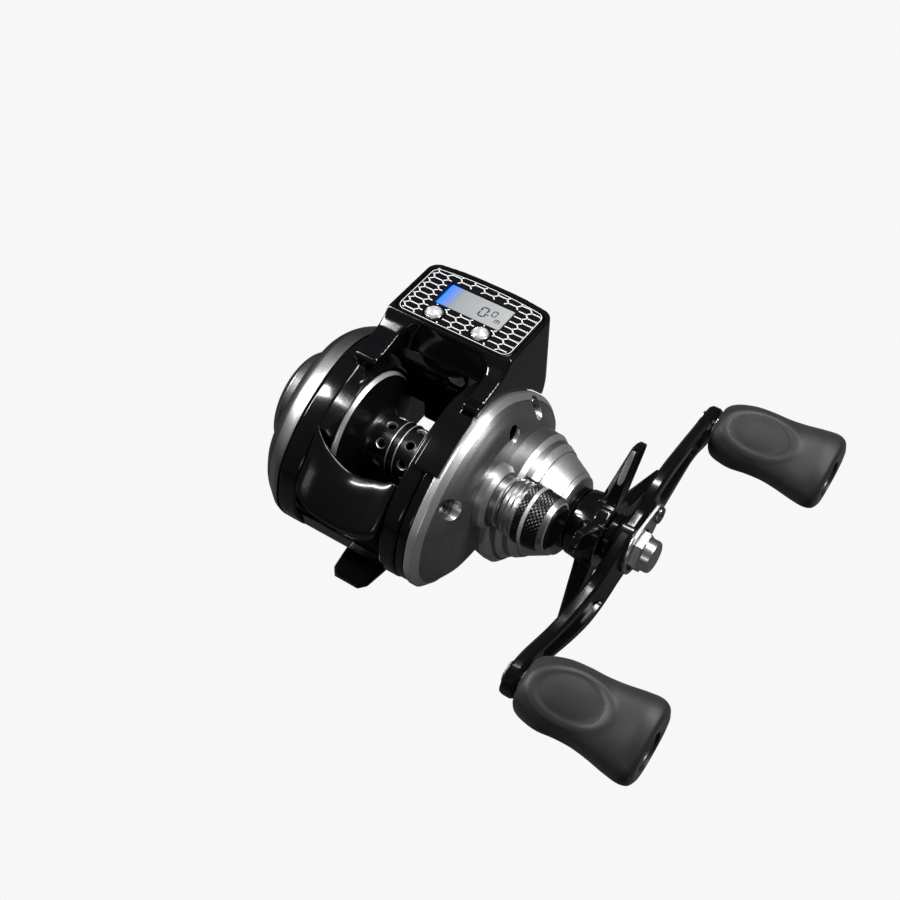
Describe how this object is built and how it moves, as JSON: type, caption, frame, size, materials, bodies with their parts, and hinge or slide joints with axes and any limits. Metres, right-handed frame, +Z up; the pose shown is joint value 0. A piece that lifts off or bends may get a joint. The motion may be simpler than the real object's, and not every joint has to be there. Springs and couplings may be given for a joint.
{
  "type": "baitcasting fishing reel with electronic line counter",
  "caption": "Low-profile baitcasting fishing reel with a line-depth counter display, star drag, level wind and a double-knob crank handle.",
  "frame": {"origin": "middle of the flat underside of the reel foot, where it rests in a rod's reel seat", "axes": "+X to the handle side along the spool's axis, +Y along the rod towards its tip, +Z up from the foot to the counter"},
  "size_m": [0.1227, 0.1166, 0.0654],
  "materials": {
    "gloss_black": "gloss black lacquer",
    "satin_silver": "satin silver, polished edges",
    "polished_steel": "polished stainless steel",
    "black_anodised": "black anodised",
    "brass": "machined brass",
    "rubber_grey": "soft dark grey",
    "black_plastic": "black moulded plastic",
    "lcd_grey": "grey liquid crystal panel",
    "pearl_button": "pearl white",
    "board_green": "green circuit board",
    "carbon_washer": "woven carbon friction washer",
    "ceramic": "polished ceramic",
    "magnet": "sintered magnet"
  },
  "bodies": {
    "housing": {"frame": "gloss_black", "reel_foot": "gloss_black", "foot_screw_front": "polished_steel", "foot_screw_rear": "polished_steel", "palm_side_plate": "satin_silver", "palm_plate_screw": "polished_steel", "brake_housing": "black_plastic", "brake_magnet_ring": "magnet", "spool_bearing_left": "polished_steel", "spool_bearing_right": "polished_steel", "gear_set_plate": "gloss_black", "gear_side_cover": "satin_silver", "cover_screw_front": "polished_steel", "cover_screw_rear": "polished_steel", "counter_housing": "gloss_black", "counter_face": "gloss_black", "lcd_display": "lcd_grey", "counter_circuit_board": "board_green", "coin_cell": "polished_steel", "worm_guard": "black_anodised", "guide_rod": "polished_steel", "anti_reverse_bearing": "polished_steel"},
    "handle": {"drive_shaft": "polished_steel", "level_wind_drive_gear": "black_plastic", "main_gear": "brass", "drag_washer": "carbon_washer", "drag_pressure_plate": "polished_steel", "drag_sleeve": "polished_steel", "star_drag_spacer": "satin_silver", "handle_arm": "black_anodised", "handle_nut": "polished_steel", "nut_retainer": "polished_steel", "retainer_screw": "polished_steel", "knob_axle_front": "polished_steel", "knob_axle_rear": "polished_steel"},
    "star_drag_wheel": {"star_drag": "gloss_black"},
    "front_knob": {"handle_knob_front": "rubber_grey", "knob_cap_front": "rubber_grey"},
    "rear_knob": {"handle_knob_rear": "rubber_grey", "knob_cap_rear": "rubber_grey"},
    "spool_group": {"spool": "black_anodised", "spool_shaft": "polished_steel", "brake_rotor": "satin_silver", "counter_magnet_ring": "magnet"},
    "yoke": {"clutch_yoke": "satin_silver"},
    "pinion": {"pinion_gear": "brass"},
    "cam": {"clutch_cam": "satin_silver"},
    "thumb_bar_group": {"thumb_bar": "gloss_black"},
    "worm": {"worm_shaft": "polished_steel", "level_wind_cog": "black_plastic"},
    "line_guide_group": {"line_guide": "gloss_black", "line_guide_eye": "ceramic", "pawl": "brass", "pawl_cap": "black_anodised"},
    "cast_control": {"cast_control_knob": "black_anodised", "cast_control_cap": "gloss_black"},
    "brake_dial_group": {"brake_dial": "black_anodised"},
    "mode_key": {"mode_button": "pearl_button"},
    "reset_key": {"reset_button": "pearl_button"},
    "battery_cover": {"battery_cap": "black_plastic"}
  },
  "joints": [
    {"name": "handle_turn", "type": "hinge", "parent": "housing", "child": "handle", "pos_m": [0.055, 0.0086, 0.01189], "axis": [1, 0, 0], "continuous": true},
    {"name": "spool_turn", "type": "hinge", "parent": "housing", "child": "spool_group", "pos_m": [0, -0.005, 0.0233], "axis": [1, 0, 0], "continuous": true},
    {"name": "clutch_yoke_slide", "type": "slide", "parent": "housing", "child": "yoke", "axis": [1, 0, 0], "range_m": [0, 0.001]},
    {"name": "pinion_turn", "type": "hinge", "parent": "yoke", "child": "pinion", "pos_m": [0.02, -0.005, 0.0233], "axis": [1, 0, 0], "continuous": true},
    {"name": "worm_turn", "type": "hinge", "parent": "housing", "child": "worm", "pos_m": [0, 0.01792, 0.02059], "axis": [1, 0, 0], "continuous": true},
    {"name": "line_guide_slide", "type": "slide", "parent": "housing", "child": "line_guide_group", "axis": [1, 0, 0], "range_m": [-0.0076, 0.0082]},
    {"name": "thumb_bar_press", "type": "slide", "parent": "housing", "child": "thumb_bar_group", "axis": [0, 0, -1], "range_m": [0, 0.0032]},
    {"name": "clutch_cam_turn", "type": "hinge", "parent": "housing", "child": "cam", "pos_m": [0.018, -0.005, 0.0233], "axis": [1, 0, 0], "range_deg": [0, 9]},
    {"name": "star_drag_turn", "type": "hinge", "parent": "handle", "child": "star_drag_wheel", "pos_m": [0.047, 0.0086, 0.01189], "axis": [1, 0, 0], "range_deg": [0, 300]},
    {"name": "front_knob_turn", "type": "hinge", "parent": "handle", "child": "front_knob", "pos_m": [0.07, 0.0564, 0.01183], "axis": [1, 0, 0], "continuous": true},
    {"name": "rear_knob_turn", "type": "hinge", "parent": "handle", "child": "rear_knob", "pos_m": [0.07, -0.03921, 0.01195], "axis": [1, 0, 0], "continuous": true},
    {"name": "cast_control_turn", "type": "hinge", "parent": "housing", "child": "cast_control", "pos_m": [0.037, -0.005, 0.0233], "axis": [1, 0, 0], "range_deg": [0, 360]},
    {"name": "brake_dial_turn", "type": "hinge", "parent": "housing", "child": "brake_dial_group", "pos_m": [-0.033, -0.005, 0.0233], "axis": [1, 0, 0], "range_deg": [0, 300]},
    {"name": "mode_button_press", "type": "slide", "parent": "housing", "child": "mode_key", "axis": [0, 0, -1], "range_m": [0, 0.0008], "stiffness_N_per_m": 600},
    {"name": "reset_button_press", "type": "slide", "parent": "housing", "child": "reset_key", "axis": [0, 0, -1], "range_m": [0, 0.0008], "stiffness_N_per_m": 600},
    {"name": "battery_cap_turn", "type": "hinge", "parent": "housing", "child": "battery_cover", "pos_m": [-0.0035, 0.0229, 0.0342], "axis": [0, 0, -1], "range_deg": [0, 90]}
  ],
  "couplings": [
    {"joint": "spool_turn", "follows": "handle_turn", "ratio": -6.1},
    {"joint": "pinion_turn", "follows": "handle_turn", "ratio": -6.1},
    {"joint": "worm_turn", "follows": "handle_turn", "ratio": -1.4286},
    {"joint": "clutch_cam_turn", "follows": "thumb_bar_press", "rad_per_m": 48},
    {"joint": "clutch_yoke_slide", "follows": "thumb_bar_press", "ratio": 0.3125}
  ]
}
